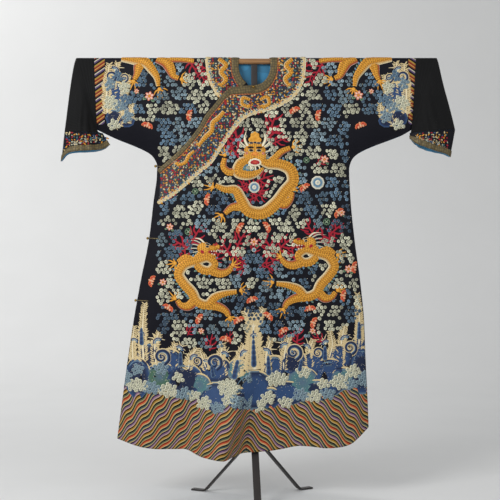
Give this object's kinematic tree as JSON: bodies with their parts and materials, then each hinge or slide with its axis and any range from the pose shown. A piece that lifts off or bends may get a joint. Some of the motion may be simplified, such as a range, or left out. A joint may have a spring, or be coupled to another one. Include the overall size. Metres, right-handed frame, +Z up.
{
  "type": "chinese dragon robe on a t-bar garment stand",
  "caption": "Round-necked embroidered silk robe with a curved side-closing flap and hoof-shaped cuffs, hung flat over the bar of a three-legged display stand.",
  "frame": {"origin": "centre of the whole object's footprint box, on the floor under the stand's feet", "axes": "+Z up along the stand's post, +X towards the wearer's left sleeve, -Y towards the robe's front"},
  "size_m": [1.3803, 0.3941, 1.5367],
  "materials": {
    "ground_silk": "blue-black satin silk ground",
    "ribbed_silk": "plain black ribbed silk",
    "cuff_silk": "embroidered dark silk",
    "gold_brocade": "olive-gold brocade ribbon",
    "facing_silk": "embroidered black silk with a cream border",
    "orange_piping": "orange-brown cord piping",
    "blue_lining": "blue damask silk",
    "gilt_button": "dull gilt ball button",
    "wood": "varnished brown wood",
    "black_steel": "black powder-coated steel"
  },
  "bodies": {
    "root": {"front_left": "ground_silk", "front_left_skirt": "ground_silk", "outer_flap": "ground_silk", "outer_flap_skirt": "ground_silk", "under_front": "ground_silk", "back_left": "ground_silk", "back_left_skirt": "ground_silk", "back_right": "ground_silk", "back_right_skirt": "ground_silk", "lower_sleeve_left": "ribbed_silk", "lower_sleeve_right": "ribbed_silk", "cuff_left": "cuff_silk", "cuff_right": "cuff_silk", "cuff_band_left": "gold_brocade", "cuff_band_right": "gold_brocade", "band_front": "gold_brocade", "band_under": "gold_brocade", "band_back": "gold_brocade", "piping_front": "orange_piping", "piping_under": "orange_piping", "facing_front": "facing_silk", "facing_under": "facing_silk", "facing_back": "facing_silk", "neck_lining": "blue_lining", "button_neck": "gilt_button", "button_chest": "gilt_button", "button_underarm": "gilt_button", "button_side_upper": "gilt_button", "button_side_lower": "gilt_button", "loop_neck": "gold_brocade", "loop_chest": "gold_brocade", "loop_underarm": "gold_brocade", "loop_side_upper": "gold_brocade", "loop_side_lower": "gold_brocade", "bar": "wood", "post": "black_steel", "hub": "black_steel", "leg_front": "black_steel", "leg_rear_left": "black_steel", "leg_rear_right": "black_steel"}
  },
  "joints": []
}
